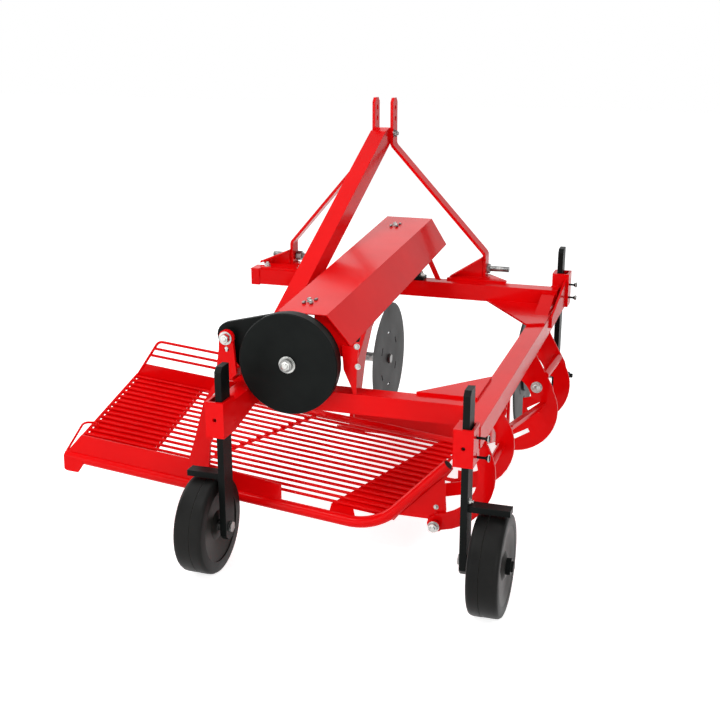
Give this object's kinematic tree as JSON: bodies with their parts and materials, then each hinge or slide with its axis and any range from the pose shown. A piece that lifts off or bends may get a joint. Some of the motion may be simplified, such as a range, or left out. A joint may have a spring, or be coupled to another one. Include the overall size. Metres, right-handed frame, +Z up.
{
  "type": "potato digger",
  "caption": "Tractor-mounted potato digger with a digging share, coulter discs, support wheels and a shaken rod sieve that discharges to the side.",
  "frame": {"origin": "middle of the footprint on the ground", "axes": "+Y forward to the tractor, +X to the machine's right, +Z up"},
  "size_m": [1.535, 1.913, 1.3],
  "materials": {
    "red_paint": "gloss enamel",
    "black_paint": "satin powder coat",
    "disc_paint": "satin",
    "zinc": "zinc plated",
    "bright_steel": "turned",
    "rubber": "matt",
    "black_rim": "satin"
  },
  "bodies": {
    "frame": {"front_beam": "red_paint", "side_beam": "red_paint", "rear_beam": "red_paint", "rear_arm": "red_paint", "frame_gussets": "red_paint", "mast_bar_left": "red_paint", "mast_bar_right": "red_paint", "link_pin_left": "bright_steel", "link_pin_right": "bright_steel", "mast_spacer": "red_paint", "mast_brace": "red_paint", "hitch_bracket_left": "red_paint", "hitch_bracket_right": "red_paint", "leg_left": "black_paint", "leg_right": "black_paint", "leg_front_left": "black_paint", "leg_front_right": "black_paint", "clamp_left": "red_paint", "clamp_right": "red_paint", "clamp_front_left": "red_paint", "clamp_front_right": "red_paint", "clamp_bolts": "zinc", "axle_left": "bright_steel", "axle_right": "bright_steel", "wheel_scrapers": "black_paint", "disc_axle_left": "bright_steel", "disc_axle_right": "bright_steel", "shaft_guard": "red_paint", "shaft_bearings": "black_paint", "guard_legs": "red_paint", "hanger_lugs": "red_paint", "guide_ribs": "red_paint", "guide_bars": "red_paint", "share": "red_paint", "share_arms": "red_paint"},
    "wheel_left": {"tyre_left": "rubber", "rim_left": "black_rim"},
    "wheel_right": {"tyre_right": "rubber", "rim_right": "black_rim"},
    "coulter_left": {"disc_left": "disc_paint", "disc_hub_left": "disc_paint"},
    "coulter_right": {"disc_right": "disc_paint", "disc_hub_right": "disc_paint"},
    "drive": {"drive_shaft": "bright_steel", "flywheel": "black_paint"},
    "rocker": {"rocker": "red_paint"},
    "rod": {"connecting_rod": "black_paint"},
    "sieve": {"sieve_bars": "red_paint", "sieve_frame": "red_paint", "sieve_front_tube": "red_paint", "sieve_side_near": "red_paint", "sieve_side_far": "red_paint", "sieve_fence": "red_paint", "sieve_sheets": "red_paint", "sieve_gusset": "red_paint"},
    "hanger": {"sieve_hanger": "red_paint"}
  },
  "joints": [
    {"name": "wheel_left_spin", "type": "hinge", "parent": "frame", "child": "wheel_left", "pos_m": [-0.16551, -0.8065, 0.15], "axis": [1, 0, 0], "continuous": true},
    {"name": "wheel_right_spin", "type": "hinge", "parent": "frame", "child": "wheel_right", "pos_m": [0.71049, -0.8065, 0.15], "axis": [1, 0, 0], "continuous": true},
    {"name": "coulter_left_spin", "type": "hinge", "parent": "frame", "child": "coulter_left", "pos_m": [-0.07351, 0.7215, 0.235], "axis": [1, 0, 0], "continuous": true},
    {"name": "coulter_right_spin", "type": "hinge", "parent": "frame", "child": "coulter_right", "pos_m": [0.55849, 0.7215, 0.235], "axis": [1, 0, 0], "continuous": true},
    {"name": "drive_spin", "type": "hinge", "parent": "frame", "child": "drive", "pos_m": [0.05149, 0.0795, 0.636], "axis": [0, 1, 0], "continuous": true},
    {"name": "rocker_swing", "type": "hinge", "parent": "frame", "child": "rocker", "pos_m": [-0.17751, -0.5875, 0.509], "axis": [0, 1, 0], "range_deg": [-2.4, 2.4]},
    {"name": "rod_swing", "type": "hinge", "parent": "rocker", "child": "rod", "pos_m": [-0.14751, -0.6265, 0.699], "axis": [0, 1, 0], "range_deg": [-2.5, 2.5]},
    {"name": "sieve_swing", "type": "hinge", "parent": "rocker", "child": "sieve", "pos_m": [-0.26351, -0.6315, 0.222], "axis": [0, 1, 0], "range_deg": [-2.5, 2.5]},
    {"name": "hanger_swing", "type": "hinge", "parent": "frame", "child": "hanger", "pos_m": [0.62749, -0.6385, 0.447], "axis": [0, 1, 0], "range_deg": [-2.6, 2.6]}
  ],
  "couplings": [
    {"joint": "rod_swing", "follows": "rocker_swing", "ratio": -1},
    {"joint": "sieve_swing", "follows": "rocker_swing", "ratio": -1},
    {"joint": "hanger_swing", "follows": "rocker_swing", "ratio": 1.0361}
  ]
}
